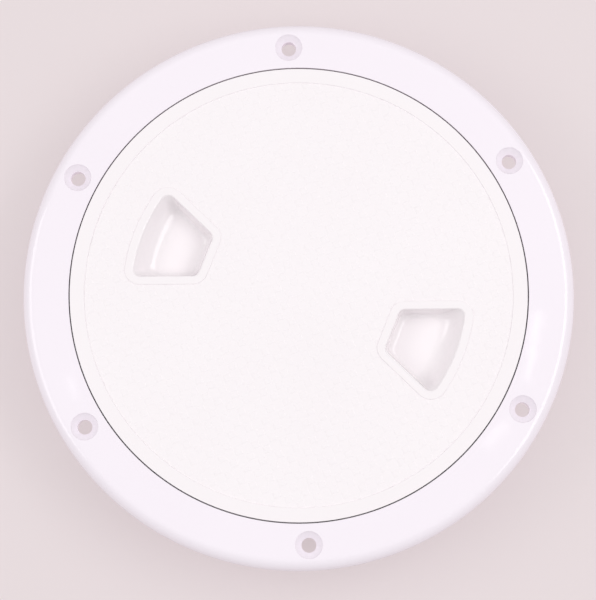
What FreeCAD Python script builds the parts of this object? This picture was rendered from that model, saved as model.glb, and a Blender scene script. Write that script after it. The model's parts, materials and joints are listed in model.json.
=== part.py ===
import FreeCAD, Part
# Round deck inspection plate, 150 mm class: a moulded mounting ring that is screwed down round a
# hole in the deck, a moulded lid that screws into it by hand, and the rubber seal between the two.
# Millimetres. The origin is the centre of the ring's underside, so z = 0 is the deck's surface and
# +Z points up, out of the deck. The lid is modelled screwed home.
import math
import os
from FreeCAD import Vector

UP = Vector(0, 0, 1)
ORIGIN = Vector(0, 0, 0)

# Clear opening left by the ring when the lid is out; every other radius is counted from it
OPENING_R = 77.4

# Quick thread: a few short ridges on each piece, all parts of one coarse right-hand helix
THREAD_LEAD = 20.0
THREAD_STARTS = 4
THREAD_DEPTH = 1.5
THREAD_FLANK_ANGLE = 23.5
THREAD_FLANK_GAP = 0.3
THREAD_CREST_GAP = 0.4
THREAD_SPAN = 64.0
THREAD_ANGLE = 20.0
THREAD_ROOT = 0.8
THREAD_FROM_SKIRT_END = 4.4

# Mounting ring: the flange that shows on deck and the collar that goes down through the hole
FLANGE_H = 6.0
FLANGE_EDGE_ROUND = 4.5
COLLAR_WALL = 2.6
COLLAR_DEPTH = 22.0
LEDGE_Z = 1.8

# Screw holes in the flange, countersunk for 5 mm screws
SCREW_COUNT = 6
SCREW_FIRST_ANGLE = 32.3
SCREW_TO_LID_RECESS = 7.55
SCREW_TO_EDGE = 9.1
SCREW_HOLE_R = 2.65
SINK_R = 4.9
SINK_ANGLE = 90.0

# Coring under the flange, which leaves an even wall, a lip, a pad at each screw and ribs between
CORE_TO_LID_RECESS = 2.65
CORE_TO_EDGE = 3.4
CORE_TOP_WALL = 3.0
SCREW_PAD_W = 11.2
FLANGE_RIB_T = 1.6

# Lid: a flat top with a rim that lies in the ring's recess, and a skirt that carries the thread
LID_RIM_T = 3.4
LID_RIM_W = 5.8
LID_TO_RING = 0.55
LID_BORDER_W = 5.1
SKIRT_WALL = 2.2
SKIRT_TO_COLLAR_END = 4.5
FIELD_DROP = 0.3

# Finger recesses: two keystones, half a turn apart, that the fingers turn the lid by
RECESS_COUNT = 2
RECESS_ANGLE = 158.25
RECESS_TO_SKIRT = 16.3
RECESS_LENGTH = 24.4
RECESS_INNER_HALF = 7.93
RECESS_FLARE = 22.3
RECESS_DEPTH = 8.0
RECESS_WALL = 2.2
RECESS_CORNER_R = 2.5
RECESS_APEX_R = 3.0
RECESS_FLOOR_CHAMFER = 1.5
RECESS_BORDER = 3.0
DRAFT_OUTER = 30.0
DRAFT_INNER = 6.0
DRAFT_APEX_SIDE = 7.0
DRAFT_PUSH_SIDE = 5.0

# Ribs under the lid
LID_RIB_T = 1.8
LID_RIB_DEPTH = 6.0
LID_RIB_COUNT = 6
LID_RIB_RING_R = 23.0

# Seal: an O-ring between the lid's rim, the skirt and a cone in the ring
SEAL_SECTION_R = 1.5
SEAL_SIDES = 8
SEAL_GAP = 0.15

# Radii, from the opening outwards
SKIRT_R = OPENING_R - THREAD_CREST_GAP
BORE_R = OPENING_R + THREAD_DEPTH
COLLAR_R = BORE_R + COLLAR_WALL
LID_R = SKIRT_R + LID_RIM_W
RING_RECESS_R = LID_R + LID_TO_RING
SCREW_CIRCLE_R = RING_RECESS_R + SCREW_TO_LID_RECESS
FLANGE_R = SCREW_CIRCLE_R + SCREW_TO_EDGE
CORE_INNER_R = RING_RECESS_R + CORE_TO_LID_RECESS
CORE_OUTER_R = FLANGE_R - CORE_TO_EDGE
FIELD_R = LID_R - LID_BORDER_W
RECESS_OUTER_R = SKIRT_R - RECESS_TO_SKIRT
RECESS_INNER_DIST = RECESS_OUTER_R - RECESS_LENGTH

# Heights
TOP_Z = FLANGE_H
FIELD_Z = TOP_Z - FIELD_DROP
RIM_Z = TOP_Z - LID_RIM_T
RECESS_FLOOR_Z = TOP_Z - RECESS_DEPTH
COLLAR_END_Z = -COLLAR_DEPTH
SKIRT_END_Z = COLLAR_END_Z + SKIRT_TO_COLLAR_END

# Thread ridges: as wide as their pitch allows with the flank gap, on the lid half a pitch lower
RIDGE_PITCH = THREAD_LEAD / THREAD_STARTS
RIDGE_SLOPE = math.tan(math.radians(THREAD_FLANK_ANGLE))
RIDGE_REACH = THREAD_DEPTH + THREAD_CREST_GAP
RIDGE_BASE_W = RIDGE_PITCH / 2 - THREAD_FLANK_GAP + RIDGE_SLOPE * RIDGE_REACH
LID_THREAD_Z = SKIRT_END_Z + THREAD_FROM_SKIRT_END
RING_THREAD_Z = LID_THREAD_Z + RIDGE_PITCH / 2

# Seal's place, and the 45 degree cone that it sits on, as radius less height
SEAL_R = SKIRT_R + SEAL_GAP + SEAL_SECTION_R
SEAL_Z = RIM_Z - SEAL_GAP - SEAL_SECTION_R
SEAL_REACH = (SEAL_SECTION_R + SEAL_GAP) * math.sqrt(0.5)
SEAL_CONE = (SEAL_R + SEAL_REACH) - (SEAL_Z - SEAL_REACH)

# Cutting tools run this far past the faces they cut, and points this near count as the same
OVERSHOOT = 1.0
NEAR = 1e-4
EDGE_NEAR = 0.2


def polar(radius, angle_deg, z=0.0):
    """Point at a radius and an angle about the plate's axis."""
    a = math.radians(angle_deg)
    return Vector(radius * math.cos(a), radius * math.sin(a), z)


def turned(shape, angle_deg):
    """Copy of a shape, turned about the plate's axis."""
    copy = shape.copy()
    copy.rotate(ORIGIN, UP, angle_deg)
    return copy


def tube(outer_r, inner_r, z_low, z_high):
    """Plain ring between two radii and two heights."""
    height = z_high - z_low
    outer = Part.makeCylinder(outer_r, height, Vector(0, 0, z_low))
    return outer.cut(Part.makeCylinder(inner_r, height, Vector(0, 0, z_low)))


class Section:
    """Half section, drawn as (radius, z) lines and quarter rounds, and revolved about the axis."""

    def __init__(self, radius, z):
        self.start = Vector(radius, 0, z)
        self.here = self.start
        self.edges = []

    def line(self, radius, z):
        there = Vector(radius, 0, z)
        self.edges.append(Part.makeLine(self.here, there))
        self.here = there
        return self

    def round(self, radius, z, centre_r, centre_z):
        there = Vector(radius, 0, z)
        centre = Vector(centre_r, 0, centre_z)
        size = (self.here - centre).Length
        middle = centre + ((self.here + there) * 0.5 - centre).normalize() * size
        self.edges.append(Part.Arc(self.here, middle, there).toShape())
        self.here = there
        return self

    def revolve(self):
        if (self.here - self.start).Length > NEAR:
            self.line(self.start.x, self.start.z)
        face = Part.Face(Part.Wire(self.edges))
        return face.revolve(ORIGIN, UP, 360)


def ridge(wall_r, outward, z_start, angle_start):
    """One thread ridge: a trapezoid swept up the helix from angle_start over THREAD_SPAN."""
    way = 1 if outward else -1
    root_half = RIDGE_BASE_W / 2 + RIDGE_SLOPE * THREAD_ROOT
    crest_half = RIDGE_BASE_W / 2 - RIDGE_SLOPE * THREAD_DEPTH
    root_r = wall_r - way * THREAD_ROOT
    crest_r = wall_r + way * THREAD_DEPTH
    corners = [
        Vector(root_r, 0, -root_half),
        Vector(crest_r, 0, -crest_half),
        Vector(crest_r, 0, crest_half),
        Vector(root_r, 0, root_half),
    ]
    profile = Part.makePolygon(corners + corners[:1])
    rise = THREAD_LEAD * THREAD_SPAN / 360
    path = Part.Wire(Part.makeHelix(THREAD_LEAD, rise, wall_r).Edges)
    body = path.makePipeShell([profile], True, True)
    body.translate(Vector(0, 0, z_start))
    return turned(body, angle_start)


def ridges(wall_r, outward, z_start):
    """All the ridges of one piece's thread."""
    step = 360 / THREAD_STARTS
    return [ridge(wall_r, outward, z_start, THREAD_ANGLE + k * step) for k in range(THREAD_STARTS)]


def ring_body():
    """Flange, ledge, sealing cone and collar, as one turned section."""
    s = Section(BORE_R, COLLAR_END_Z)
    s.line(BORE_R, BORE_R - SEAL_CONE)
    s.line(SEAL_CONE + LEDGE_Z, LEDGE_Z)
    s.line(RING_RECESS_R, LEDGE_Z)
    s.line(RING_RECESS_R, TOP_Z)
    s.line(FLANGE_R - FLANGE_EDGE_ROUND, TOP_Z)
    edge_r = FLANGE_R - FLANGE_EDGE_ROUND
    edge_z = TOP_Z - FLANGE_EDGE_ROUND
    halfway = FLANGE_EDGE_ROUND * math.sqrt(0.5)
    s.round(edge_r + halfway, edge_z + halfway, edge_r, edge_z)
    s.line(FLANGE_R, edge_z)
    s.line(FLANGE_R, 0)
    s.line(COLLAR_R, 0)
    s.line(COLLAR_R, COLLAR_END_Z)
    return s.revolve()


def screw_angles():
    step = 360 / SCREW_COUNT
    return [SCREW_FIRST_ANGLE + k * step for k in range(SCREW_COUNT)]


def screw_hole(angle):
    """Clearance hole with a conical countersink."""
    slope = math.tan(math.radians(SINK_ANGLE / 2))
    sink_depth = (SINK_R - SCREW_HOLE_R) / slope
    wide_r = SINK_R + OVERSHOOT * slope
    centre = polar(SCREW_CIRCLE_R, angle, TOP_Z)
    hole = Part.makeCylinder(SCREW_HOLE_R, TOP_Z + 2 * OVERSHOOT, centre - UP * (TOP_Z + OVERSHOOT))
    sink = Part.makeCone(SCREW_HOLE_R, wide_r, sink_depth + OVERSHOOT, centre - UP * sink_depth)
    return hole.fuse(sink)


def flange_core():
    """The space under the flange, less the pads that carry the screws and the ribs between them."""
    core = tube(CORE_OUTER_R, CORE_INNER_R, -OVERSHOOT, TOP_Z - CORE_TOP_WALL)
    half_step = 180 / SCREW_COUNT
    keep = []
    for angle in screw_angles():
        keep.append(spoke(SCREW_PAD_W, angle))
        keep.append(spoke(FLANGE_RIB_T, angle + half_step))
    return core.cut(keep)


def spoke(width, angle):
    """A straight bar across the core, at an angle about the axis."""
    length = CORE_OUTER_R - CORE_INNER_R + 2 * OVERSHOOT
    bar = Part.makeBox(length, width, TOP_Z)
    bar.translate(Vector(CORE_INNER_R - OVERSHOOT, -width / 2, -OVERSHOOT))
    return turned(bar, angle)


def mounting_ring():
    """The outer moulding."""
    body = ring_body()
    body = body.cut([flange_core()] + [screw_hole(angle) for angle in screw_angles()])
    return body.fuse(ridges(BORE_R, False, RING_THREAD_Z))


def keystone_points(z, grow, drafted):
    """Corners of a finger recess's straight sides at height z, on the recess's own axis."""
    below = TOP_Z - z if drafted else 0.0
    flare = math.radians(RECESS_FLARE)
    inner = RECESS_INNER_DIST - grow + below * math.tan(math.radians(DRAFT_INNER))
    far = RECESS_OUTER_R + RECESS_INNER_HALF

    def half_width(along, draft):
        side = grow - below * math.tan(math.radians(draft))
        return RECESS_INNER_HALF + (along - RECESS_INNER_DIST) * math.tan(flare) + side / math.cos(flare)

    return [
        Vector(inner, -half_width(inner, DRAFT_APEX_SIDE), z),
        Vector(far, -half_width(far, DRAFT_APEX_SIDE), z),
        Vector(far, half_width(far, DRAFT_PUSH_SIDE), z),
        Vector(inner, half_width(inner, DRAFT_PUSH_SIDE), z),
    ]


def keystone(z_low, z_high, grow=0.0, drafted=True, rounded=True, floor_chamfer=0.0):
    """Solid of a finger recess, or of its shell or border when grown."""
    wires = []
    for z in (z_low, z_high):
        points = keystone_points(z, grow, drafted)
        wires.append(Part.makePolygon(points + points[:1]))
    wedge = Part.makeLoft(wires, True, True)
    lean = math.tan(math.radians(DRAFT_OUTER)) if drafted else 0.0
    low_r = RECESS_OUTER_R + grow - lean * (TOP_Z - z_low)
    high_r = RECESS_OUTER_R + grow - lean * (TOP_Z - z_high)
    if drafted:
        drum = Part.makeCone(low_r, high_r, z_high - z_low, Vector(0, 0, z_low))
    else:
        drum = Part.makeCylinder(low_r, z_high - z_low, Vector(0, 0, z_low))
    solid = wedge.common(drum)
    if not rounded:
        return solid
    plain = []
    apex = []
    for edge in solid.Edges:
        ends = [v.Point.z for v in edge.Vertexes]
        if len(ends) == 2 and abs(ends[0] - ends[1]) > (z_high - z_low) / 2:
            middle = edge.CenterOfMass
            is_outer = math.hypot(middle.x, middle.y) > (RECESS_INNER_DIST + RECESS_OUTER_R) / 2
            if is_outer and middle.y < 0:
                apex.append(edge)
            else:
                plain.append(edge)
    solid = solid.makeFillet(RECESS_CORNER_R + grow, plain)
    apex = [e for e in solid.Edges if any(same_edge(e, old) for old in apex)]
    solid = solid.makeFillet(RECESS_APEX_R + grow, apex)
    if floor_chamfer:
        floor = [e for e in solid.Edges if all(abs(v.Point.z - z_low) < NEAR for v in e.Vertexes)]
        solid = solid.makeChamfer(floor_chamfer, floor)
    return solid


def same_edge(a, b):
    """True for an edge that an earlier fillet elsewhere has left where it was."""
    apart = (a.CenterOfMass - b.CenterOfMass).Length
    return apart < EDGE_NEAR and abs(a.Length - b.Length) < EDGE_NEAR


def at_recesses(solid):
    """The same solid at every finger recess."""
    step = 360 / RECESS_COUNT
    return [turned(solid, RECESS_ANGLE + k * step) for k in range(RECESS_COUNT)]


def lid_body():
    """Top, rim and skirt, as one turned section."""
    skirt_in = SKIRT_R - SKIRT_WALL
    s = Section(0, RIM_Z)
    s.line(skirt_in, RIM_Z)
    s.line(skirt_in, SKIRT_END_Z)
    s.line(SKIRT_R, SKIRT_END_Z)
    s.line(SKIRT_R, RIM_Z)
    s.line(LID_R, RIM_Z)
    s.line(LID_R, TOP_Z)
    s.line(0, TOP_Z)
    return s.revolve()


def lid_ribs():
    """Radial ribs from the centre to the skirt, and one round rib that ties them."""
    z_low = RIM_Z - LID_RIB_DEPTH
    length = SKIRT_R - SKIRT_WALL / 2
    ribs = [tube(LID_RIB_RING_R + LID_RIB_T / 2, LID_RIB_RING_R - LID_RIB_T / 2, z_low, RIM_Z + OVERSHOOT)]
    step = 360 / LID_RIB_COUNT
    for k in range(LID_RIB_COUNT):
        rib = Part.makeBox(length, LID_RIB_T, LID_RIB_DEPTH + OVERSHOOT)
        rib.translate(Vector(0, -LID_RIB_T / 2, z_low))
        ribs.append(turned(rib, RECESS_ANGLE + (k + 0.5) * step))
    return ribs


def lid_field():
    """The thin layer that the sunk grip field takes off the top, less the smooth borders."""
    field = Part.makeCylinder(FIELD_R, FIELD_DROP + OVERSHOOT, Vector(0, 0, FIELD_Z))
    border = keystone(FIELD_Z - OVERSHOOT, TOP_Z + 2 * OVERSHOOT, RECESS_BORDER, drafted=False)
    return field.cut(at_recesses(border))


def lid():
    """The inner moulding."""
    shell_floor = RECESS_FLOOR_Z - RECESS_WALL
    shell = keystone(shell_floor, RIM_Z + OVERSHOOT, RECESS_WALL, rounded=False)
    void = keystone(RECESS_FLOOR_Z, TOP_Z + OVERSHOOT, floor_chamfer=RECESS_FLOOR_CHAMFER)
    body = lid_body().fuse(at_recesses(shell) + lid_ribs())
    body = body.cut(at_recesses(void) + [lid_field()])
    return body.fuse(ridges(SKIRT_R, True, LID_THREAD_Z))


def o_ring():
    """The rubber seal, with a flat for each of the three faces that squeeze it in use."""
    step = 2 * math.pi / SEAL_SIDES
    corner_r = SEAL_SECTION_R / math.cos(step / 2)
    corners = []
    for k in range(SEAL_SIDES):
        a = (k + 0.5) * step
        corners.append((SEAL_R + corner_r * math.cos(a), SEAL_Z + corner_r * math.sin(a)))
    s = Section(*corners[0])
    for radius, z in corners[1:]:
        s.line(radius, z)
    return s.revolve()


def write(name, shape):
    """Clean a shape and write it as a STEP file of the same name."""
    shape = shape.removeSplitter()
    if len(shape.Solids) == 1:
        shape = shape.Solids[0]
    shape.exportStep("parts/%s.step" % name)
    facts = (name, len(shape.Solids), shape.isValid(), shape.Volume / 1000)
    print("%-14s solids %d, valid %s, %.1f cm3" % facts)


os.makedirs("parts", exist_ok=True)
write("mounting_ring", mounting_ring())
write("lid", lid())
write("o_ring", o_ring())
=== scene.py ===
# %% [markdown]
# # A deck inspection plate
#
# The object is the round white hatch that a boat's deck has wherever somebody has to look or reach
# below. A mounting ring is screwed down round a hole, a lid turns into it with two fingers, and a
# rubber ring between the two keeps the water out.
#
# The imported model is the frame: its pieces are in the right place and at the right size. This script
# gives them their looks. It first loads the frame and reads the box of each of its pieces.

# %% Load the frame
import json
import math

import bmesh
import bpy
from mathutils import Matrix, Quaternion, Vector


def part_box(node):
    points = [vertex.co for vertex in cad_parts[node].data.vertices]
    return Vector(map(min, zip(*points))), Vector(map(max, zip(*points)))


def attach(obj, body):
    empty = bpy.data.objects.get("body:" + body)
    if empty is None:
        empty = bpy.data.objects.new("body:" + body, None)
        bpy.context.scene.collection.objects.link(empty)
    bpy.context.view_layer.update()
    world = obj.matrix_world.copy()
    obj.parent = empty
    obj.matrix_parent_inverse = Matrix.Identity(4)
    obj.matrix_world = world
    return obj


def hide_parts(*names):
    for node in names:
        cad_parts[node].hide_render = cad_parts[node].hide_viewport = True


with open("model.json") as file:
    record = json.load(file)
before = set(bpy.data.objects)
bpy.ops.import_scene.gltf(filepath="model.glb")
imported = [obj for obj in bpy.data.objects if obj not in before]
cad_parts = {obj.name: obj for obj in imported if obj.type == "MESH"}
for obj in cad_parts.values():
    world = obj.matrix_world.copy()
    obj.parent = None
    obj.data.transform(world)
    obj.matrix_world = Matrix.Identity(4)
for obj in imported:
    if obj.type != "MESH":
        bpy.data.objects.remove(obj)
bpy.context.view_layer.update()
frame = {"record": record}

MM = 0.001

# %% [markdown]
# ## Sizes
#
# Every size below is read from the frame where the frame has it. The ring's box gives the flange's
# radius and height and the end of the collar, the lid's box gives the lid, the seal's box gives the
# rubber's thickness, and the frame's mounts give the screw holes and the collar. All are kept in
# millimetres, because that is how such mouldings are drawn, and turned into metres only at the end.

# %% Sizes from the frame
ring_low, ring_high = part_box("mounting_ring")
lid_low, lid_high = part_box("lid")
seal_low, seal_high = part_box("o_ring")
mounts = {mount["name"]: mount["dims"] for mount in frame["record"]["mounts"]}

FLANGE_R = ring_high[0] / MM
TOP_Z = ring_high[2] / MM
COLLAR_END_Z = ring_low[2] / MM
COLLAR_R = mounts["collar"]["r_mm"]
SCREW_CIRCLE_R = mounts["screw_holes"]["pcd_mm"] / 2
SCREW_COUNT = mounts["screw_holes"]["count"]
SCREW_HOLE_R = mounts["screw_holes"]["hole_r_mm"]
LID_R = lid_high[0] / MM
SKIRT_END_Z = lid_low[2] / MM
SEAL_SECTION_R = (seal_high[2] - seal_low[2]) / 2 / MM
SEAL_R = seal_high[0] / MM - SEAL_SECTION_R
SEAL_Z = (seal_high[2] + seal_low[2]) / 2 / MM
print("flange radius %.2f, lid radius %.2f" % (FLANGE_R, LID_R))
print("top at %.2f, end of the collar at %.2f" % (TOP_Z, COLLAR_END_Z))

# %% [markdown]
# ## Sizes of the mouldings
#
# The rest are wall thicknesses, gaps and steps, which no box can tell. Such fittings have walls of two
# to three millimetres or so, thick enough to be stood on. What shows, such as the lid's rim, the edge of
# the grip field and the turn of the screws and the recesses, was measured in the photograph.

# %% Sizes of the mouldings
COLLAR_WALL = 2.6
BORE_R = COLLAR_R - COLLAR_WALL
LID_RIM_W = 5.8
LID_RIM_T = 3.4
LID_BORDER_W = 5.1
LID_TO_RING = 0.46
SKIRT_R = LID_R - LID_RIM_W
SKIRT_WALL = 2.2
RING_RECESS_R = LID_R + LID_TO_RING
RIM_Z = TOP_Z - LID_RIM_T
FIELD_R = LID_R - LID_BORDER_W
FIELD_DROP = 0.3
FIELD_Z = TOP_Z - FIELD_DROP
SINK_R = 4.9
SCREW_FIRST_ANGLE = 32.3
RECESS_ANGLE = 158.25
RECESS_COUNT = 2
print("bore radius %.2f, skirt radius %.2f" % (BORE_R, SKIRT_R))
print("screw circle's radius %.2f" % SCREW_CIRCLE_R)

# %% [markdown]
# ## Camera
#
# The photograph looks down on the plate, 8 degrees short of straight above, from the side of the
# lower edge. The camera's distance and lens were worked out from two things in it: how much the
# outline of the flange is squeezed from top to bottom, and how wide it is in the picture. The plate
# sits a little above the picture's middle, so the lens is shifted by that much.

# %% Camera
VIEW_ELEVATION = 81.83
VIEW_DISTANCE = 0.8393
LENS_MM = 139.3
SENSOR_MM = 36
PICTURE_H = 600
CENTRE_RIGHT_PX = 0.72
CENTRE_UP_PX = 7.49


def make_camera():
    data = bpy.data.cameras.new("photo_camera")
    data.sensor_width = SENSOR_MM
    data.lens = LENS_MM
    data.shift_x = -CENTRE_RIGHT_PX / PICTURE_H
    data.shift_y = -CENTRE_UP_PX / PICTURE_H
    camera = bpy.data.objects.new("photo_camera", data)
    bpy.context.scene.collection.objects.link(camera)
    lean = math.radians(90 - VIEW_ELEVATION)
    camera.rotation_euler = (lean, 0, 0)
    back = Vector((0, -math.sin(lean), math.cos(lean)))
    camera.location = Vector((0, 0, TOP_Z * MM)) + back * VIEW_DISTANCE
    return camera


bpy.context.scene.camera = make_camera()
print("camera at", [round(v, 4) for v in bpy.context.scene.camera.location])

# %% [markdown]
# ## Node helpers
#
# A material is a small machine: textures make numbers, numbers steer colour, roughness and bump. The
# helpers below only shorten the typing. `node` adds a node and sets its sockets, `wire` joins two of
# them, and `maths` adds a sum. The others each stand for a small chain that the materials here share:
# a noise, its middle range stretched to a span, a bump, and a colour or a roughness that wanders between
# two values. Patterns are laid out in Object coordinates, so they stick to the plastic when the lid
# turns.

# %% Node helpers
def node(tree, kind, **inputs):
    made = tree.nodes.new(kind)
    for key, value in inputs.items():
        made.inputs[key.replace("_", " ")].default_value = value
    return made


def wire(tree, source, output, target, socket):
    tree.links.new(source.outputs[output], target.inputs[socket])


def maths(tree, operation, first, first_output, second, second_output=None):
    """A math node; the second value is a number or another node's output."""
    made = tree.nodes.new("ShaderNodeMath")
    made.operation = operation
    wire(tree, first, first_output, made, 0)
    if second_output is None:
        made.inputs[1].default_value = second
    else:
        wire(tree, second, second_output, made, 1)
    return made


def new_material(name):
    material = bpy.data.materials.new(name)
    material.use_nodes = True
    tree = material.node_tree
    shader = tree.nodes["Principled BSDF"]
    return material, tree, shader


def noise(tree, where, scale, detail=2.0, roughness=0.5):
    """Noise on Object coordinates; scale counts grains per metre."""
    made = node(tree, "ShaderNodeTexNoise", Scale=scale, Detail=detail, Roughness=roughness)
    wire(tree, where, "Object", made, "Vector")
    return made


def spread(tree, texture, span, middle=(0.3, 0.7)):
    """Stretches a noise's middle range to a span, given as its low and high end."""
    made = tree.nodes.new("ShaderNodeMapRange")
    made.inputs["From Min"].default_value = middle[0]
    made.inputs["From Max"].default_value = middle[1]
    made.inputs["To Min"].default_value = span[0]
    made.inputs["To Max"].default_value = span[1]
    wire(tree, texture, "Fac", made, "Value")
    return made


def bump(tree, height, output, shader, depth, under=None):
    """Bump whose height runs from 0 to depth metres, on top of another bump if one is given."""
    made = node(tree, "ShaderNodeBump", Strength=1.0, Distance=depth)
    wire(tree, height, output, made, "Height")
    if under is not None:
        wire(tree, under, "Normal", made, "Normal")
    wire(tree, made, "Normal", shader, "Normal")
    return made


def tint(tree, shader, texture, first, second):
    """Base colour that wanders between two colours with a noise."""
    made = tree.nodes.new("ShaderNodeMix")
    made.data_type = "RGBA"
    made.inputs["A"].default_value = first
    made.inputs["B"].default_value = second
    wire(tree, spread(tree, texture, (0, 1)), "Result", made, "Factor")
    wire(tree, made, "Result", shader, "Base Color")


def polish(tree, shader, texture, span):
    """Roughness that wanders over a span with a noise."""
    wire(tree, spread(tree, texture, span), "Result", shader, "Roughness")


print("helpers ready, for plastic, rubber and paint")

# %% [markdown]
# ## Polished white plastic
#
# The flange comes from a polished mould, so it is glossy, with the faint waviness of injection
# moulding rather than a mirror's flatness. Three things break the evenness up: a broad, weak change
# of tint, a slight change of roughness where hands and cloths have been, and short hair scratches. The
# scratches are a noise that is stretched along one direction, thinned to its peaks. Scales count grains
# per metre, and depths are in metres.

# %% White gloss
GLOSS_LIGHT = (0.920, 0.852, 0.920, 1)
GLOSS_SHADE = (0.910, 0.840, 0.908, 1)
GLOSS_ROUGHNESS = (0.03, 0.05)
GLOSS_IOR = 1.49
GLOSS_CLOUDS = 14
HANDLED_PATCHES = 45
MOULD_WAVES = 90
WAVE_DEPTH = 0.00002
SCRATCH_GRAINS = (40, 900, 900)
SCRATCH_TURN = (0, 0, 0.6)
SCRATCH_PEAKS = (0.70, 0.74)
SCRATCH_DEPTH = 0.000004


def white_gloss():
    material, tree, shader = new_material("white_gloss_plastic")
    where = tree.nodes.new("ShaderNodeTexCoord")
    tint(tree, shader, noise(tree, where, GLOSS_CLOUDS, detail=3), GLOSS_LIGHT, GLOSS_SHADE)
    handled = noise(tree, where, HANDLED_PATCHES, detail=4, roughness=0.6)
    polish(tree, shader, handled, GLOSS_ROUGHNESS)
    slow = bump(tree, noise(tree, where, MOULD_WAVES, detail=1), "Fac", shader, WAVE_DEPTH)
    stretched = node(tree, "ShaderNodeMapping", Scale=SCRATCH_GRAINS, Rotation=SCRATCH_TURN)
    wire(tree, where, "Object", stretched, "Vector")
    hairs = node(tree, "ShaderNodeTexNoise", Scale=1.0, Detail=2.0, Roughness=0.7)
    wire(tree, stretched, "Vector", hairs, "Vector")
    cut = spread(tree, hairs, (0, 1), SCRATCH_PEAKS)
    bump(tree, cut, "Result", shader, -SCRATCH_DEPTH, under=slow)
    shader.inputs["IOR"].default_value = GLOSS_IOR
    return material


gloss_white = white_gloss()
print("made", gloss_white.name, "of", len(gloss_white.node_tree.nodes), "nodes")

# %% [markdown]
# ## Matt white plastic
#
# The lid is moulded from the same white, but most of its top is spark eroded: a fine grain that
# scatters the light, so that wet hands and shoes don't slip. Its rim, the borders of the recesses and
# the recesses themselves are smooth. The height of the surface tells the two apart: the grip field lies
# 0.3 mm below the smooth borders, so a mask on the Object coordinate's z is enough. It also catches a
# hair-thin band of the recesses' walls at that height, where it doesn't show. The tiles of the grip
# field are a piece of their own and grained all over, so they get a second, plainer material.

# %% White matt
MATT_LIGHT = (0.926, 0.872, 0.898, 1)
MATT_SHADE = (0.916, 0.860, 0.886, 1)
MATT_CLOUDS = 18
SMOOTH_PATCHES = 60
SMOOTH_ROUGHNESS = (0.02, 0.05)
FIELD_ROUGHNESS = 0.6
TILE_ROUGHNESS = (0.52, 0.66)
GRAIN_SCALE = 1700
GRAIN_DEPTH = 0.00004


def matt_base(name):
    """A material with the lid's colour; also returns its coordinates and its grain."""
    material, tree, shader = new_material(name)
    where = tree.nodes.new("ShaderNodeTexCoord")
    tint(tree, shader, noise(tree, where, MATT_CLOUDS, detail=3), MATT_LIGHT, MATT_SHADE)
    grain = noise(tree, where, GRAIN_SCALE, detail=3, roughness=0.6)
    return material, tree, shader, where, grain


def white_matt():
    """Grained where the surface has the grip field's height, smooth elsewhere."""
    material, tree, shader, where, grain = matt_base("white_matt_plastic")
    smooth = spread(tree, noise(tree, where, SMOOTH_PATCHES, detail=4), SMOOTH_ROUGHNESS)
    parts = tree.nodes.new("ShaderNodeSeparateXYZ")
    wire(tree, where, "Object", parts, "Vector")
    above = maths(tree, "GREATER_THAN", parts, "Z", (FIELD_Z - FIELD_DROP / 2) * MM)
    below = maths(tree, "LESS_THAN", parts, "Z", (FIELD_Z + FIELD_DROP / 2) * MM)
    field = maths(tree, "MULTIPLY", above, 0, below, 0)
    rough = tree.nodes.new("ShaderNodeMix")
    rough.inputs["B"].default_value = FIELD_ROUGHNESS
    wire(tree, field, 0, rough, "Factor")
    wire(tree, smooth, "Result", rough, "A")
    wire(tree, rough, "Result", shader, "Roughness")
    bump(tree, maths(tree, "MULTIPLY", grain, "Fac", field, 0), 0, shader, GRAIN_DEPTH)
    return material


def white_grip():
    material, tree, shader, _, grain = matt_base("white_grip_plastic")
    polish(tree, shader, grain, TILE_ROUGHNESS)
    bump(tree, grain, "Fac", shader, GRAIN_DEPTH)
    return material


matt_white = white_matt()
grip_white = white_grip()
for white in (matt_white, grip_white):
    print("made", white.name, "of", len(white.node_tree.nodes), "nodes")

# %% [markdown]
# ## Black rubber
#
# The seal is soft nitrile rubber, dark grey rather than black, with a dull skin. Grease from fitting it
# leaves glossier patches, and the grain is a fine noise.

# %% Rubber
RUBBER_DARK = (0.014, 0.014, 0.015, 1)
RUBBER_PALE = (0.024, 0.023, 0.022, 1)
RUBBER_PATCHES = 60
RUBBER_ROUGHNESS = (0.38, 0.62)
RUBBER_GRAIN = 1500
RUBBER_GRAIN_DEPTH = 0.00003


def black_rubber():
    material, tree, shader = new_material("black_seal_rubber")
    where = tree.nodes.new("ShaderNodeTexCoord")
    patches = noise(tree, where, RUBBER_PATCHES, detail=3)
    tint(tree, shader, patches, RUBBER_DARK, RUBBER_PALE)
    polish(tree, shader, patches, RUBBER_ROUGHNESS)
    bump(tree, noise(tree, where, RUBBER_GRAIN, detail=2), "Fac", shader, RUBBER_GRAIN_DEPTH)
    return material


rubber = black_rubber()
print("made", rubber.name, "of", len(rubber.node_tree.nodes), "nodes")

# %% [markdown]
# ## From rows of points to solids
#
# Both mouldings are turned shapes with things cut out of them and fused on, which is also how their
# moulds are made: a lathe turns the round forms, and a mill and a spark eroder sink the rest. So there
# are three kinds of solid. `turned` spins a half section round the axis. `stacked` joins outlines that
# lie one above another. `swept_ridge` carries a small section up a helix. Booleans put them together.

# %% Mesh helpers
TURN_STEPS = 240
SMALL_ROUND_STEPS = 4
MERGE_MM = 0.001


def object_from(name, vertices, faces):
    """An object of vertices in millimetres, its doubles merged and its faces turned outwards."""
    mesh = bpy.data.meshes.new(name)
    mesh.from_pydata([[c * MM for c in v] for v in vertices], [], faces)
    work = bmesh.new()
    work.from_mesh(mesh)
    bmesh.ops.remove_doubles(work, verts=work.verts, dist=MERGE_MM * MM)
    bmesh.ops.recalc_face_normals(work, faces=work.faces)
    work.to_mesh(mesh)
    work.free()
    made = bpy.data.objects.new(name, mesh)
    bpy.context.scene.collection.objects.link(made)
    return made


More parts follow.
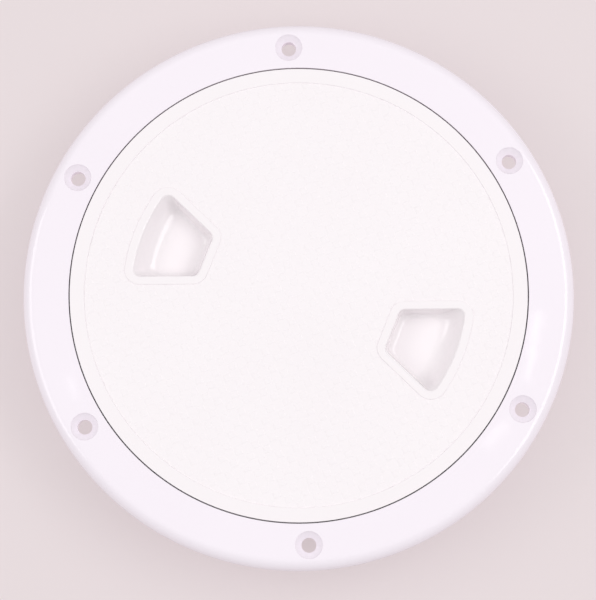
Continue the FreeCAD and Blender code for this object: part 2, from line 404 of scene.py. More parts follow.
def quarter(centre_r, centre_z, radius, start, end, steps):
    """Points of a round in a half section, from one angle to another, both ends included."""
    points = []
    for k in range(steps + 1):
        a = math.radians(start + (end - start) * k / steps)
        points.append((centre_r + radius * math.cos(a), centre_z + radius * math.sin(a)))
    return points


def turned(name, section, steps=TURN_STEPS):
    """Closed half section of (radius, z) points, spun round the z axis."""
    vertices = []
    for k in range(steps):
        a = 2 * math.pi * k / steps
        vertices += [(r * math.cos(a), r * math.sin(a), z) for r, z in section]
    n = len(section)
    faces = []
    for k in range(steps):
        here = k * n
        there = (k + 1) % steps * n
        faces += [(here + i, there + i, there + (i + 1) % n, here + (i + 1) % n) for i in range(n)]
    return object_from(name, vertices, faces)


def stacked(name, rows):
    """Outlines with equal numbers of (x, y, z) points, joined one above another and capped."""
    n = len(rows[0])
    vertices = [point for row in rows for point in row]
    faces = []
    for k in range(len(rows) - 1):
        low = k * n
        high = low + n
        faces += [(low + i, low + (i + 1) % n, high + (i + 1) % n, high + i) for i in range(n)]
    faces.append(tuple(range(n)))
    faces.append(tuple(range((len(rows) - 1) * n, len(rows) * n)))
    return object_from(name, vertices, faces)


print("a turned shape has", TURN_STEPS, "steps, which is %.1f degrees each" % (360 / TURN_STEPS))

# %% [markdown]
# ## Plain copies and booleans
#
# A modifier is a recipe that Blender runs again whenever something changes. Once a piece is right,
# `plain` keeps what the recipe made and throws the recipe away. `carve` does so after each boolean. It
# uses the exact kind, which is slower and keeps the solid closed. `finish_piece` ends every piece:
# smooth faces, crisp edges where two faces meet at a real angle, its material, the body it rides on
# and the piece of the frame that it stands for.

# %% Plain copies and booleans
FINAL_MERGE_MM = 0.0005
SHARP_ANGLE = 32


def plain(source):
    """Turns an object with modifiers into one with a plain mesh, and returns it under the same name."""
    graph = bpy.context.evaluated_depsgraph_get()
    mesh = bpy.data.meshes.new_from_object(source.evaluated_get(graph))
    name = source.name
    drop(source)
    made = bpy.data.objects.new(name, mesh)
    bpy.context.scene.collection.objects.link(made)
    return made


def drop(thing):
    mesh = thing.data
    bpy.data.objects.remove(thing)
    bpy.data.meshes.remove(mesh)


def carve(body, operation, *tools):
    """Cuts tools off a body, or fuses them to it, and removes the tools."""
    for tool in tools:
        modifier = body.modifiers.new("carve", "BOOLEAN")
        modifier.operation = operation
        modifier.solver = "EXACT"
        modifier.object = tool
        body = plain(body)
        drop(tool)
    return body


def finish_piece(piece, body, stands_for, material, sharp_angle=SHARP_ANGLE):
    """Smooth faces with crisp edges, then the material and the body it rides on; hides the frame's piece
    it stands for.
    """
    work = bmesh.new()
    work.from_mesh(piece.data)
    bmesh.ops.remove_doubles(work, verts=work.verts, dist=FINAL_MERGE_MM * MM)
    for face in work.faces:
        face.smooth = True
        face.material_index = 0
    for edge in work.edges:
        edge.smooth = edge.is_manifold and edge.calc_face_angle(math.pi) < math.radians(sharp_angle)
    open_edges = sum(not edge.is_manifold for edge in work.edges)
    work.to_mesh(piece.data)
    work.free()
    piece.data.materials.clear()
    piece.data.materials.append(material)
    weights = piece.modifiers.new("weights", "WEIGHTED_NORMAL")
    weights.keep_sharp = True
    piece = plain(piece)
    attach(piece, body)
    if stands_for:
        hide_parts(stands_for)
    print("%s: %d faces, %d open edges" % (piece.name, len(piece.data.polygons), open_edges))


print("edges stay crisp from %d degrees" % SHARP_ANGLE)

# %% [markdown]
# ## Copies round the axis
#
# The screw holes, the pockets under the flange and the thread's ridges all repeat round the axis. One
# small node tree does this for all of them: it drops a number of points at the centre, puts a copy of
# the given shape on each, and turns each copy on by the same step. The tree's inputs have names, so the
# same tree serves any shape, number and first angle.

# %% Copies round the axis
def new_tree(name, **inputs):
    """A geometry tree with named inputs and their kinds; a low line stands for a space."""
    tree = bpy.data.node_groups.new(name, "GeometryNodeTree")
    for label, kind in inputs.items():
        tree.interface.new_socket(label.replace("_", " "), in_out="INPUT", socket_type="NodeSocket" + kind)
    tree.interface.new_socket("Geometry", in_out="OUTPUT", socket_type="NodeSocketGeometry")
    return tree, tree.nodes.new("NodeGroupInput"), tree.nodes.new("NodeGroupOutput")


def end_tree(tree, shape, output, inputs, outputs):
    """Realizes what is left of the instances, sets the material and ends the tree."""
    real = tree.nodes.new("GeometryNodeRealizeInstances")
    wire(tree, shape, output, real, "Geometry")
    paint = tree.nodes.new("GeometryNodeSetMaterial")
    wire(tree, real, "Geometry", paint, "Geometry")
    wire(tree, inputs, "Material", paint, "Material")
    wire(tree, paint, "Geometry", outputs, "Geometry")


def run_tree(name, tree, values):
    """Runs a tree with a value for each of its inputs, and returns the result as a plain mesh object."""
    mesh = bpy.data.meshes.new(name)
    holder = bpy.data.objects.new(name, mesh)
    bpy.context.scene.collection.objects.link(holder)
    modifier = holder.modifiers.new("tree", "NODES")
    modifier.node_group = tree
    for item in tree.interface.items_tree:
        if item.item_type == "SOCKET" and item.in_out == "INPUT":
            modifier[item.identifier] = values[item.name]
    return plain(holder)


def round_tree():
    tree, inputs, outputs = new_tree("copies_round_the_axis", Shape="Object", Count="Int",
                                     First_angle="Float", Material="Material")
    points = tree.nodes.new("GeometryNodePoints")
    wire(tree, inputs, "Count", points, "Count")
    full_turn = tree.nodes.new("ShaderNodeMath")
    full_turn.operation = "DIVIDE"
    full_turn.inputs[0].default_value = 2 * math.pi
    wire(tree, inputs, "Count", full_turn, 1)
    index = tree.nodes.new("GeometryNodeInputIndex")
    turn = maths(tree, "MULTIPLY", index, "Index", full_turn, 0)
    start = maths(tree, "RADIANS", inputs, "First angle", 0.0)
    total = maths(tree, "ADD", turn, 0, start, 0)
    rotation = tree.nodes.new("ShaderNodeCombineXYZ")
    wire(tree, total, 0, rotation, "Z")
    shape = tree.nodes.new("GeometryNodeObjectInfo")
    wire(tree, inputs, "Shape", shape, "Object")
    copies = tree.nodes.new("GeometryNodeInstanceOnPoints")
    wire(tree, points, "Points", copies, "Points")
    wire(tree, shape, "Geometry", copies, "Instance")
    wire(tree, rotation, "Vector", copies, "Rotation")
    end_tree(tree, copies, "Instances", inputs, outputs)
    return tree


COPIES_ROUND = round_tree()


def copies_round(shape, count, first_angle, material):
    """Copies of a shape round the axis, as one plain mesh; the shape itself is removed."""
    made = run_tree(shape.name + "_set", COPIES_ROUND, {
        "Shape": shape, "Count": count, "First angle": float(first_angle), "Material": material})
    drop(shape)
    print("%s: %d copies" % (made.name, count))
    return made


print(COPIES_ROUND.name, "has", len(COPIES_ROUND.nodes), "nodes")

# %% [markdown]
# ## Thread ridges
#
# A hand-turned lid has a quick thread: four short ridges on each piece, all parts of one coarse
# right-hand helix that climbs 20 mm in a turn, so that a quarter turn lets the lid go. A section is
# carried up the helix and capped at both ends. The ring's ridges point inwards and the lid's outwards,
# half a pitch apart in height, so their slanted flanks lie against each other with a small gap.

# %% Thread ridges
THREAD_LEAD = 20.0
THREAD_STARTS = 4
THREAD_DEPTH = 1.5
THREAD_CREST_GAP = 0.4
THREAD_FLANK_GAP = 0.3
THREAD_FLANK_ANGLE = 23.5
THREAD_SLOPE = math.tan(math.radians(THREAD_FLANK_ANGLE))
THREAD_SPAN = 64.0
THREAD_ANGLE = 20.0
THREAD_ROOT = 0.8
THREAD_STEPS = 40
RIDGE_PITCH = THREAD_LEAD / THREAD_STARTS
RIDGE_BASE_W = RIDGE_PITCH / 2 - THREAD_FLANK_GAP + THREAD_SLOPE * (THREAD_DEPTH + THREAD_CREST_GAP)
THREAD_ABOVE_SKIRT_END = 4.4
LID_THREAD_Z = SKIRT_END_Z + THREAD_ABOVE_SKIRT_END
RING_THREAD_Z = LID_THREAD_Z + RIDGE_PITCH / 2


def swept_ridge(name, wall_r, way, z_start):
    """One ridge on a wall, pointing outwards for way 1 and inwards for way -1."""
    root_half = RIDGE_BASE_W / 2 + THREAD_SLOPE * THREAD_ROOT
    crest_half = RIDGE_BASE_W / 2 - THREAD_SLOPE * THREAD_DEPTH
    root_r = wall_r - way * THREAD_ROOT
    crest_r = wall_r + way * THREAD_DEPTH
    section = [(root_r, -root_half), (crest_r, -crest_half), (crest_r, crest_half), (root_r, root_half)]
    rows = []
    for k in range(THREAD_STEPS + 1):
        degrees = THREAD_SPAN * k / THREAD_STEPS
        a = math.radians(degrees)
        rise = z_start + THREAD_LEAD * degrees / 360
        rows.append([(r * math.cos(a), r * math.sin(a), z + rise) for r, z in section])
    return stacked(name, rows)


print("ridges %.2f mm wide at the wall, lid's from %.2f, ring's from %.2f"
      % (RIDGE_BASE_W, LID_THREAD_Z, RING_THREAD_Z))

# %% [markdown]
# ## Mounting ring
#
# The ring is one moulding. Seen from above it is a flat flange with a fully rounded edge, six
# countersunk holes and a recess for the lid. Below hang the collar, which goes down through the deck,
# and a row of pockets that keep the walls even, so that the top doesn't sink where it is thick. The
# body is turned first, from the half section below. The rounded edge is part of that section, so it
# needs no bevel afterwards.

# %% Ring sizes
EDGE_ROUND = 4.5
FOOT_CHAMFER = 0.4
COLLAR_CHAMFER = 0.8
GAP_ROUND = 0.06
LEDGE_Z = 1.8
SEAL_CONE = 77.81
SINK_LIP = 0.5
SINK_LIP_LEAN = 0.25
SINK_ROUND = 0.1
CORE_INNER_WALL = 2.65
CORE_OUTER_WALL = 3.4
FLANGE_T = 3.0
CORE_INNER_R = RING_RECESS_R + CORE_INNER_WALL
CORE_OUTER_R = FLANGE_R - CORE_OUTER_WALL
CORE_TOP_Z = TOP_Z - FLANGE_T
SCREW_PAD_W = 11.2
FLANGE_RIB_T = 1.6
OVERSHOOT = 1.0
ROUND_STEPS = 8


def ring_section():
    """Half section of the ring, from the foot of the bore upwards and back down the outside."""
    section = [(BORE_R, COLLAR_END_Z), (BORE_R, BORE_R - SEAL_CONE), (SEAL_CONE + LEDGE_Z, LEDGE_Z)]
    section.append((RING_RECESS_R, LEDGE_Z))
    gap_r = RING_RECESS_R + GAP_ROUND
    section += quarter(gap_r, TOP_Z - GAP_ROUND, GAP_ROUND, 180, 90, SMALL_ROUND_STEPS)
    edge_z = TOP_Z - EDGE_ROUND
    section += quarter(FLANGE_R - EDGE_ROUND, edge_z, EDGE_ROUND, 90, 0, 2 * ROUND_STEPS)
    section += [(FLANGE_R, FOOT_CHAMFER), (FLANGE_R - FOOT_CHAMFER, 0), (COLLAR_R, 0)]
    section += [(COLLAR_R, COLLAR_END_Z + COLLAR_CHAMFER), (COLLAR_R - COLLAR_CHAMFER, COLLAR_END_Z)]
    return section


print("the ring's half section has", len(ring_section()), "points")

# %% [markdown]
# ## Screw holes and pockets
#
# A countersunk screw needs a clearance hole and a cone for its head. On this plate the cone starts a
# little below the top, under a short steep lip with a broken edge. One cutter has the whole profile.
# The pockets lie between a screw's pad and the next rib, one on each side of the screw, so the second
# outline is the first one mirrored.

# %% Screw holes and pockets
SINK_STEPS = 64
SINK_ROUND_END = 110
SINK_ROUND_STEPS = 3


def screw_cutter():
    """Clearance hole, cone and a short steep lip with a broken edge, standing on the screw circle."""
    lip_z = TOP_Z - SINK_LIP
    cone_r = SINK_R - SINK_LIP_LEAN
    cone_low_z = lip_z - (cone_r - SCREW_HOLE_R)
    section = [(0, -OVERSHOOT), (SCREW_HOLE_R, -OVERSHOOT), (SCREW_HOLE_R, cone_low_z), (cone_r, lip_z)]
    edge_r = SINK_R + SINK_ROUND
    section += quarter(edge_r, TOP_Z - SINK_ROUND, SINK_ROUND, 180, SINK_ROUND_END, SINK_ROUND_STEPS)
    section += [(SINK_R + 2 * SINK_ROUND, TOP_Z + OVERSHOOT), (0, TOP_Z + OVERSHOOT)]
    cutter = turned("screw_cutter", section, SINK_STEPS)
    cutter.data.transform(Matrix.Translation((SCREW_CIRCLE_R * MM, 0, 0)))
    return cutter


def pocket_outline(side, z):
    """Outline of the pocket between a screw's pad and the next rib, on one side of the screw."""
    half_step = math.pi / SCREW_COUNT
    points = []
    for radius in (CORE_INNER_R, CORE_OUTER_R):
        start = math.asin(SCREW_PAD_W / 2 / radius)
        end = half_step - math.asin(FLANGE_RIB_T / 2 / radius)
        arc = []
        for k in range(ROUND_STEPS + 1):
            a = start + (end - start) * k / ROUND_STEPS
            arc.append((radius * math.cos(a), side * radius * math.sin(a), z))
        points += arc if radius == CORE_INNER_R else arc[::-1]
    return points


def pocket_cutter(side):
    rows = [pocket_outline(side, -OVERSHOOT), pocket_outline(side, CORE_TOP_Z)]
    return stacked("pocket_cutter", rows)


print("pockets from radius %.2f to %.2f" % (CORE_INNER_R, CORE_OUTER_R))

# %% [markdown] ## Make the ring  The holes and pockets are cut while the body is still simple, and the
# ridges are fused to the bore last, because a boolean takes longer the more faces a piece has.

# %% Make the ring
def make_ring():
    body = turned("ring_moulding", ring_section())
    holes = copies_round(screw_cutter(), SCREW_COUNT, SCREW_FIRST_ANGLE, gloss_white)
    body = carve(body, "DIFFERENCE", holes)
    for side in (1, -1):
        pockets = copies_round(pocket_cutter(side), SCREW_COUNT, SCREW_FIRST_ANGLE, gloss_white)
        body = carve(body, "DIFFERENCE", pockets)
    ridge = swept_ridge("ring_ridge", BORE_R, -1, RING_THREAD_Z)
    body = carve(body, "UNION", copies_round(ridge, THREAD_STARTS, THREAD_ANGLE, gloss_white))
    finish_piece(body, "ring", "mounting_ring", gloss_white)


make_ring()

# %% [markdown]
# ## Outline of a finger recess
#
# Each finger recess is a keystone: two straight sides that open outwards, a straight inner end and an
# outer end on an arc about the plate's axis. All four walls lean inwards as they go down, the arc side
# by far the most, the corners are rounded, and the walls run into the floor in a round. One function
# gives the outline at any depth, so the recess, its shell under the lid and its smooth border all come
# from the same numbers. Sides are kept as a direction and a distance, because moving a side outwards
# is then only a larger distance, and a corner's centre is where two sides meet after both are moved in
# by its radius. The corners open a little with depth, all but the pointed one. The round between a wall
# and the floor is large on the arc side, where the fingertip goes in, smaller at the inner end and
# smallest on the two flanks, so near the floor each side is drawn in by its own amount.

# %% Recess outline
RECESS_TO_SKIRT = 16.3
RECESS_LENGTH = 24.4
RECESS_OUTER_R = SKIRT_R - RECESS_TO_SKIRT
RECESS_INNER_DIST = RECESS_OUTER_R - RECESS_LENGTH
RECESS_INNER_HALF = 7.93
RECESS_FLARE = math.radians(22.3)
RECESS_DEPTH = 8.0
RECESS_FLOOR_Z = TOP_Z - RECESS_DEPTH
ARC_FLOOR_ROUND = 3.8
INNER_FLOOR_ROUND = 2.6
SIDE_FLOOR_ROUND = 1.6
RECESS_CORNER_R = 2.5
RECESS_APEX_R = 3.0
CORNER_SPREAD = 0.2
LEAN_OUTER = math.tan(math.radians(30))
LEAN_INNER = math.tan(math.radians(8))
LEAN_APEX_SIDE = math.tan(math.radians(10))
LEAN_PUSH_SIDE = math.tan(math.radians(8))
CORNER_STEPS = 10
ARC_STEPS = 16


def direction(angle):
    return Vector((math.cos(angle), math.sin(angle)))


def meeting(n1, d1, n2, d2):
    """Point that lies at distance d1 along n1 and d2 along n2."""
    cross = n1.x * n2.y - n1.y * n2.x
    return Vector(((d1 * n2.y - d2 * n1.y) / cross, (n1.x * d2 - n2.x * d1) / cross))


def corner_arc(centre, radius, start, end):
    """Points of a corner, from one outward direction to another, anticlockwise."""
    return [centre + radius * direction(start + (end - start) * k / CORNER_STEPS)
            for k in range(CORNER_STEPS + 1)]


def drawn_in(height, radius):
    """How far a floor round of this radius draws a wall in, at a height above the floor."""
    left = max(radius - height, 0.0)
    return radius - math.sqrt(radius ** 2 - left ** 2)


def keystone(z, grow=0.0, floor_z=None, leaning=True):
    """Outline at height z, grown outwards by a wall or a border, with a round at floor_z if given."""
    depth = TOP_Z - z if leaning else 0.0
    arc_in = 0.0 if floor_z is None else drawn_in(z - floor_z, ARC_FLOOR_ROUND)
    inner_in = 0.0 if floor_z is None else drawn_in(z - floor_z, INNER_FLOOR_ROUND)
    out = grow - (0.0 if floor_z is None else drawn_in(z - floor_z, SIDE_FLOOR_ROUND))
    low_turn, high_turn, inner_turn = 1.5 * math.pi - RECESS_FLARE, math.pi / 2 + RECESS_FLARE, math.pi
    low, high, inner = direction(low_turn), direction(high_turn), direction(inner_turn)
    low_d = low.dot(Vector((RECESS_INNER_DIST, -RECESS_INNER_HALF))) + out - depth * LEAN_APEX_SIDE
    high_d = high.dot(Vector((RECESS_INNER_DIST, RECESS_INNER_HALF))) + out - depth * LEAN_PUSH_SIDE
    inner_d = grow - inner_in - RECESS_INNER_DIST - depth * LEAN_INNER
    outer_r = RECESS_OUTER_R + grow - arc_in - depth * LEAN_OUTER
    corner_r = RECESS_CORNER_R + out + depth * CORNER_SPREAD
    apex_r = RECESS_APEX_R + out

    def outer_centre(n, d, radius):
        along = math.sqrt((outer_r - radius) ** 2 - (d - radius) ** 2)
        side = Vector((-n.y, n.x)) if n.y < 0 else Vector((n.y, -n.x))
        return n * (d - radius) + side * along

    apex = outer_centre(low, low_d, apex_r)
    push = outer_centre(high, high_d, corner_r)
    apex_turn, push_turn = math.atan2(apex.y, apex.x), math.atan2(push.y, push.x)
    centre = meeting(inner, inner_d - corner_r, low, low_d - corner_r)
    points = corner_arc(centre, corner_r, inner_turn, low_turn)
    points += corner_arc(apex, apex_r, low_turn, apex_turn + 2 * math.pi)
    for k in range(1, ARC_STEPS):
        points.append(outer_r * direction(apex_turn + (push_turn - apex_turn) * k / ARC_STEPS))
    points += corner_arc(push, corner_r, push_turn, high_turn)
    centre = meeting(high, high_d - corner_r, inner, inner_d - corner_r)
    points += corner_arc(centre, corner_r, high_turn, inner_turn)
    return [(p.x, p.y, z) for p in points]


print("outline points", len(keystone(TOP_Z)))

# %% [markdown]
# ## Lid
#
# The lid is the second moulding: a flat top whose rim fills the ring's recess, a skirt that carries
# the thread, and two closed cups that hang below the finger recesses. Top and skirt are turned in one
# half section, with the grip field already sunk by its 0.3 mm.

# %% Lid sizes
RIM_ROUND = 0.06
FIELD_STEP_W = 0.15
SKIRT_CHAMFER = 0.4
RECESS_WALL = 2.2
RECESS_BORDER = 3.0
LIP_ROUND = 0.35
LIP_ANGLE = 78
LID_RIB_T = 1.8
LID_RIB_DEPTH = 6.0
LID_RIB_COUNT = 6
LID_RIB_RING_R = 23.0
PLATE_OVERLAP = 1.2
IN_PLATE_Z = RIM_Z + PLATE_OVERLAP


def lid_section():
    inside_r = SKIRT_R - SKIRT_WALL
    section = [(0, RIM_Z), (inside_r, RIM_Z), (inside_r, SKIRT_END_Z)]
    section += [(SKIRT_R - SKIRT_CHAMFER, SKIRT_END_Z), (SKIRT_R, SKIRT_END_Z + SKIRT_CHAMFER)]
    section += [(SKIRT_R, RIM_Z), (LID_R, RIM_Z)]
    section += quarter(LID_R - RIM_ROUND, TOP_Z - RIM_ROUND, RIM_ROUND, 0, 90, SMALL_ROUND_STEPS)
    section += [(FIELD_R, TOP_Z), (FIELD_R - FIELD_STEP_W, FIELD_Z), (0, FIELD_Z)]
    return section


print("the lid's half section has", len(lid_section()), "points")

# %% [markdown]
# ## Recess solids
#
# Each recess needs three solids, all stacks of the same outline. The void is what gets cut out, with a
# small round at the lip, where a finger pushes, and wider ones at the floor, where dirt would otherwise
# sit. The cup is the void grown by a wall, which closes the lid from below. The border is a flat frame
# round the mouth that stands up to the level of the rim.

# %% Recess solids
def floor_heights():
    """Heights above the floor at which the rounds at its foot get even steps, from the top down."""
    heights = set()
    for radius in (ARC_FLOOR_ROUND, INNER_FLOOR_ROUND, SIDE_FLOOR_ROUND):
        for k in range(ROUND_STEPS + 1):
            heights.add(round(radius * (1 - math.sin(math.pi / 2 * k / ROUND_STEPS)), 4))
    return sorted(heights, reverse=True)


def recess_void():
    """The space of a recess, from above its lip down through both rounds."""
    rows = [keystone(TOP_Z + OVERSHOOT, grow=LIP_ROUND + 2 * OVERSHOOT, leaning=False)]
    for k in range(SMALL_ROUND_STEPS + 1):
        a = math.radians(LIP_ANGLE * (1 - k / SMALL_ROUND_STEPS))
        z = TOP_Z - LIP_ROUND + LIP_ROUND * math.sin(a)
        rows.append(keystone(z, grow=LIP_ROUND * (1 - math.cos(a))))
    for height in floor_heights():
        rows.append(keystone(RECESS_FLOOR_Z + height, floor_z=RECESS_FLOOR_Z))
    return stacked("recess_void", rows)


def recess_cup():
    """The cup that hangs below a recess."""
    rows = [keystone(IN_PLATE_Z, grow=RECESS_WALL)]
    low = RECESS_FLOOR_Z - RECESS_WALL
    for height in floor_heights():
        rows.append(keystone(low + height, grow=RECESS_WALL, floor_z=low))
    return stacked("recess_cup", rows)


def recess_border(low_z, high_z, extra=0.0):
    """The raised flat frame round a recess's mouth."""
    rows = [keystone(low_z, grow=RECESS_BORDER + extra, leaning=False)]
    rows.append(keystone(high_z - FIELD_STEP_W, grow=RECESS_BORDER + extra, leaning=False))
    rows.append(keystone(high_z, grow=RECESS_BORDER + extra - FIELD_STEP_W, leaning=False))
    return stacked("recess_border", rows)


def at_recesses(shape):
    return copies_round(shape, RECESS_COUNT, RECESS_ANGLE, matt_white)


print("outlines of a recess from the floor's rounds up:", len(floor_heights()))

# %% [markdown]
# ## Ribs under the lid
#
# Somebody will step on the lid, and a flat plastic disc would bow. Six radial ribs and a round one
# stiffen it, and a small hub fills the place where the radial ones would meet in sharp corners. All of
# them reach up into the plate, because two solids that only touch don't fuse well.

# %% Ribs under the lid
def radial_rib():
    """One rib from the centre to the skirt."""
    half = LID_RIB_T / 2
    reach = SKIRT_R - SKIRT_WALL / 2
    rows = []
    for z in (RIM_Z - LID_RIB_DEPTH, IN_PLATE_Z):
        rows.append([(LID_RIB_T, -half, z), (reach, -half, z), (reach, half, z), (LID_RIB_T, half, z)])
    return stacked("lid_rib", rows)


def round_rib():
    half = LID_RIB_T / 2
    low_z = RIM_Z - LID_RIB_DEPTH
    section = [(LID_RIB_RING_R - half, low_z), (LID_RIB_RING_R + half, low_z)]
    section += [(LID_RIB_RING_R + half, IN_PLATE_Z), (LID_RIB_RING_R - half, IN_PLATE_Z)]
    return turned("lid_round_rib", section, TURN_STEPS // 2)


def rib_hub():
    """The small round boss where the radial ribs meet."""
    low_z = RIM_Z - LID_RIB_DEPTH
    hub_r = 2 * LID_RIB_T
    section = [(0, low_z), (hub_r, low_z), (hub_r, IN_PLATE_Z), (0, IN_PLATE_Z)]
    return turned("rib_hub", section, TURN_STEPS // 5)


print("ribs", LID_RIB_COUNT, "and a round one, %.1f mm thick" % LID_RIB_T)

# %% [markdown]
# ## Make the lid
#
# The ribs, the cups and the borders are fused to the turned body first, and the recesses are cut
# through all of them afterwards, so no rib shows inside a recess. The ridges of the thread come last.

# %% Make the lid
def make_lid():
    body = turned("lid_moulding", lid_section())
    half_step = 180 / LID_RIB_COUNT
    ribs = copies_round(radial_rib(), LID_RIB_COUNT, RECESS_ANGLE + half_step, matt_white)
    body = carve(body, "UNION", ribs, round_rib(), rib_hub(), at_recesses(recess_cup()))
    body = carve(body, "UNION", at_recesses(recess_border(IN_PLATE_Z, TOP_Z)))
    body = carve(body, "DIFFERENCE", at_recesses(recess_void()))
    ridge = swept_ridge("lid_ridge", SKIRT_R, 1, LID_THREAD_Z)
    body = carve(body, "UNION", copies_round(ridge, THREAD_STARTS, THREAD_ANGLE, matt_white))
    finish_piece(body, "cover", "lid", matt_white)


make_lid()

# %% [markdown]
# ## Grip tiles
#
# The grip field is a lattice of low square studs, each turned by 45 degrees against the lattice, so
# the grooves between them zigzag and water finds a way out. They stand 0.12 mm high. A stud is a
# four-sided cone with its top cut off, a grid gives the lattice, and an instance on each grid point
# makes the field. The studs at its edges aren't whole: the mould's pattern simply stops at the
# borders. An intersection with the field's own outline cuts them the same way.

# %% Grip tiles
TILE_PITCH = 4.60
TILE_ROWS = 37
LATTICE_ANGLE = -21.9
PHASE_ALONG = 0.33
PHASE_ACROSS = 0.67
TILE_BASE = 3.1
TILE_TOP = 2.0
TILE_HEIGHT = 0.12
TILE_SINK = 0.03
FIELD_MARGIN = 0.35
TILE_SHARP_ANGLE = 10
SIDE_TO_RADIUS = math.sqrt(0.5)


def tiles_tree():
    tree, inputs, outputs = new_tree("grip_tiles", Region="Object", Pitch="Float", Rows="Int",
                                     Base_radius="Float", Top_radius="Float", Height="Float",
                                     Place="Vector", Turn="Vector", Material="Material")
    gaps = maths(tree, "SUBTRACT", inputs, "Rows", 1.0)
    side = maths(tree, "MULTIPLY", gaps, 0, inputs, "Pitch")
    grid = tree.nodes.new("GeometryNodeMeshGrid")
    wire(tree, side, 0, grid, "Size X")
    wire(tree, side, 0, grid, "Size Y")
    wire(tree, inputs, "Rows", grid, "Vertices X")
    wire(tree, inputs, "Rows", grid, "Vertices Y")
    stud = tree.nodes.new("GeometryNodeMeshCone")
    stud.inputs["Vertices"].default_value = 4
    wire(tree, inputs, "Base radius", stud, "Radius Bottom")
    wire(tree, inputs, "Top radius", stud, "Radius Top")
    wire(tree, inputs, "Height", stud, "Depth")
    studs = tree.nodes.new("GeometryNodeInstanceOnPoints")
    wire(tree, grid, "Mesh", studs, "Points")
    wire(tree, stud, "Mesh", studs, "Instance")
    placed = tree.nodes.new("GeometryNodeTransform")
    wire(tree, studs, "Instances", placed, "Geometry")
    wire(tree, inputs, "Place", placed, "Translation")
    wire(tree, inputs, "Turn", placed, "Rotation")
    real = tree.nodes.new("GeometryNodeRealizeInstances")
    wire(tree, placed, "Geometry", real, "Geometry")
    region = tree.nodes.new("GeometryNodeObjectInfo")
    wire(tree, inputs, "Region", region, "Object")
    kept = tree.nodes.new("GeometryNodeMeshBoolean")
    kept.operation = "INTERSECT"
    kept.solver = "EXACT"
    wire(tree, real, "Geometry", kept, "Mesh 2")
    wire(tree, region, "Geometry", kept, "Mesh 2")
    end_tree(tree, kept, "Mesh", inputs, outputs)
    return tree


def field_region():
    """A flat slab of the grip field's outline, without the recesses and their borders."""
    low, high = FIELD_Z - OVERSHOOT, TOP_Z + OVERSHOOT
    edge = FIELD_R - FIELD_MARGIN
    slab = turned("field_region", [(0, low), (edge, low), (edge, high), (0, high)])
    frames = recess_border(low - OVERSHOOT, high + OVERSHOOT, extra=FIELD_MARGIN)
    return carve(slab, "DIFFERENCE", at_recesses(frames))


def make_tiles():
    region = field_region()
    along = direction(math.radians(LATTICE_ANGLE))
    across = Vector((-along.y, along.x))
    shift = (along * PHASE_ALONG + across * PHASE_ACROSS) * TILE_PITCH * MM
    values = {
        "Region": region, "Material": grip_white, "Pitch": TILE_PITCH * MM, "Rows": TILE_ROWS,
        "Base radius": TILE_BASE * SIDE_TO_RADIUS * MM, "Top radius": TILE_TOP * SIDE_TO_RADIUS * MM,
        "Height": (TILE_HEIGHT + TILE_SINK) * MM,
        "Place": (shift.x, shift.y, (FIELD_Z - TILE_SINK) * MM),
        "Turn": (0, 0, math.radians(LATTICE_ANGLE)),
    }
    tiles = run_tree("grip_tiles", tiles_tree(), values)
    drop(region)
    finish_piece(tiles, "cover", None, grip_white, TILE_SHARP_ANGLE)


make_tiles()

# %% [markdown]
# ## Seal
#
# The O-ring lies in the corner between the skirt, the lid's rim and the ring's cone. A circle is the
# path, a smaller circle is the section, and `Curve to Mesh` makes the rubber. The three flats that it
# is squeezed into are left out, because the real ring springs back round when the lid is out.

# %% Seal
SEAL_PATH_STEPS = 240
SEAL_SECTION_STEPS = 20


def seal_tree():
    tree, inputs, outputs = new_tree("o_ring", Ring_radius="Float", Section_radius="Float",
                                     Place="Vector", Material="Material")
    path = node(tree, "GeometryNodeCurvePrimitiveCircle", Resolution=SEAL_PATH_STEPS)
    wire(tree, inputs, "Ring radius", path, "Radius")
    section = node(tree, "GeometryNodeCurvePrimitiveCircle", Resolution=SEAL_SECTION_STEPS)
    wire(tree, inputs, "Section radius", section, "Radius")
    rubber_ring = tree.nodes.new("GeometryNodeCurveToMesh")
    wire(tree, path, "Curve", rubber_ring, "Curve")
    wire(tree, section, "Curve", rubber_ring, "Profile Curve")
    placed = tree.nodes.new("GeometryNodeTransform")
    wire(tree, rubber_ring, "Mesh", placed, "Geometry")
    wire(tree, inputs, "Place", placed, "Translation")
    end_tree(tree, placed, "Geometry", inputs, outputs)
    return tree


seal = run_tree("seal_ring", seal_tree(), {
    "Ring radius": SEAL_R * MM, "Section radius": SEAL_SECTION_R * MM, "Place": (0, 0, SEAL_Z * MM),
    "Material": rubber})
finish_piece(seal, "seal", "o_ring", rubber)

# %% [markdown] ## Floor  The floor is a plain pale sheet at the level of the collar's end. It glows a
# little by itself, as a light table does, which keeps the shade beside the flange and behind the screw
# holes weak.

# %% Floor
FLOOR_HALF = 3.0
FLOOR_COLOUR = (0.36, 0.323, 0.330, 1)
FLOOR_GLOW = (0.425, 0.376, 0.384, 1)
FLOOR_SHADE = 0.97
FLOOR_CLOUDS = 3
FLOOR_ROUGHNESS = 0.8


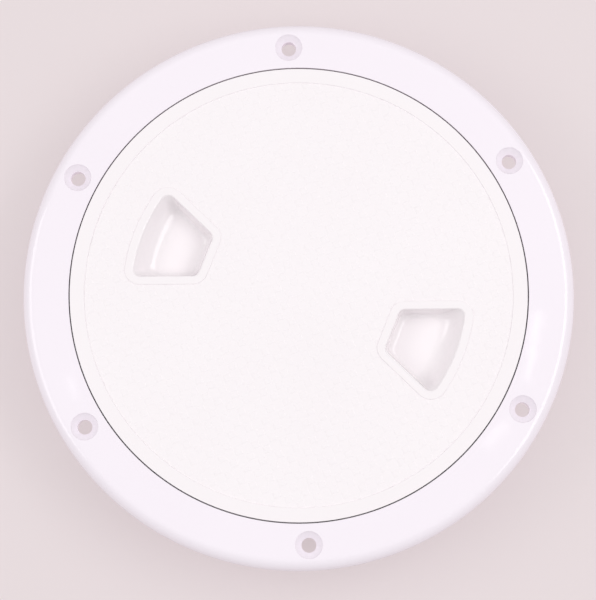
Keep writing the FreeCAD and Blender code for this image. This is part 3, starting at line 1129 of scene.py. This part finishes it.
def make_floor():
    mesh = bpy.data.meshes.new("floor")
    z = COLLAR_END_Z * MM
    corners = [(FLOOR_HALF * x, FLOOR_HALF * y, z) for x, y in ((-1, -1), (1, -1), (1, 1), (-1, 1))]
    mesh.from_pydata(corners, [], [(0, 1, 2, 3)])
    floor = bpy.data.objects.new("floor", mesh)
    bpy.context.scene.collection.objects.link(floor)
    material, tree, shader = new_material("floor_paint")
    where = tree.nodes.new("ShaderNodeTexCoord")
    darker = tuple(FLOOR_SHADE * c for c in FLOOR_COLOUR[:3]) + (1,)
    tint(tree, shader, noise(tree, where, FLOOR_CLOUDS, detail=2), FLOOR_COLOUR, darker)
    shader.inputs["Roughness"].default_value = FLOOR_ROUGHNESS
    shader.inputs["Emission Color"].default_value = FLOOR_GLOW
    shader.inputs["Emission Strength"].default_value = 1.0
    mesh.materials.append(material)
    return floor


floor = make_floor()
print("floor at %.1f mm" % COLLAR_END_Z)

# %% [markdown]
# ## Lights
#
# White on white only shows by its shading, so every light has its task. A broad light hangs overhead
# and keeps all flats even. The left one draws the bright line along the flange's left edge. The right
# one draws the bright stripes at the feet of the recesses' walls and the fine line where the flange
# starts to fall away. Three narrow, weak lamps hang where the polished flange mirrors them, each turned
# on the spot, for the streak and the two short glints on its flat. An even glow from all round keeps
# the shadows soft. A light points at the plate by a rotation that sends its own -Z there, and the turn
# about that same axis comes first.

# %% Lights
WORLD_COLOUR = (1.0, 1.01, 1.0, 1)
WORLD_STRENGTH = 0.57
LIGHTS = (
    # name, place in metres, length and breadth in metres, watts, for a lamp also a turn in degrees
    ("overhead", (0.0, 0.15, 1.30), (2.0, 2.0), 4.75),
    ("left", (-1.0, 0.0, 0.85), (1.0, 0.5), 3.6),
    ("right", (0.86, 0.05, 1.0), (1.2, 0.5), 5.2),
    ("lamp_right", (0.186, 0.10, 1.0), (0.055, 0.005), 0.0026, -40),
    ("lamp_low_right", (0.156, 0.028, 1.0), (0.025, 0.007), 0.0012, -58),
    ("lamp_left", (-0.179, 0.067, 1.0), (0.020, 0.005), 0.0006, 38),
)


def make_light(name, place, size, watts, turn=0):
    data = bpy.data.lights.new(name, "AREA")
    data.shape = "RECTANGLE"
    data.size, data.size_y = size
    data.energy = watts
    light = bpy.data.objects.new(name, data)
    bpy.context.scene.collection.objects.link(light)
    light.location = place
    aim = (-Vector(place)).to_track_quat("-Z", "Y")
    light.rotation_euler = (aim @ Quaternion((0, 0, 1), math.radians(turn))).to_euler()


for facts in LIGHTS:
    make_light(*facts)

world = bpy.data.worlds.new("studio")
world.use_nodes = True
background = world.node_tree.nodes["Background"]
background.inputs["Color"].default_value = WORLD_COLOUR
background.inputs["Strength"].default_value = WORLD_STRENGTH
bpy.context.scene.world = world
bpy.context.scene.view_settings.view_transform = "Standard"
print("lights", len(LIGHTS), "and a world of strength", WORLD_STRENGTH)
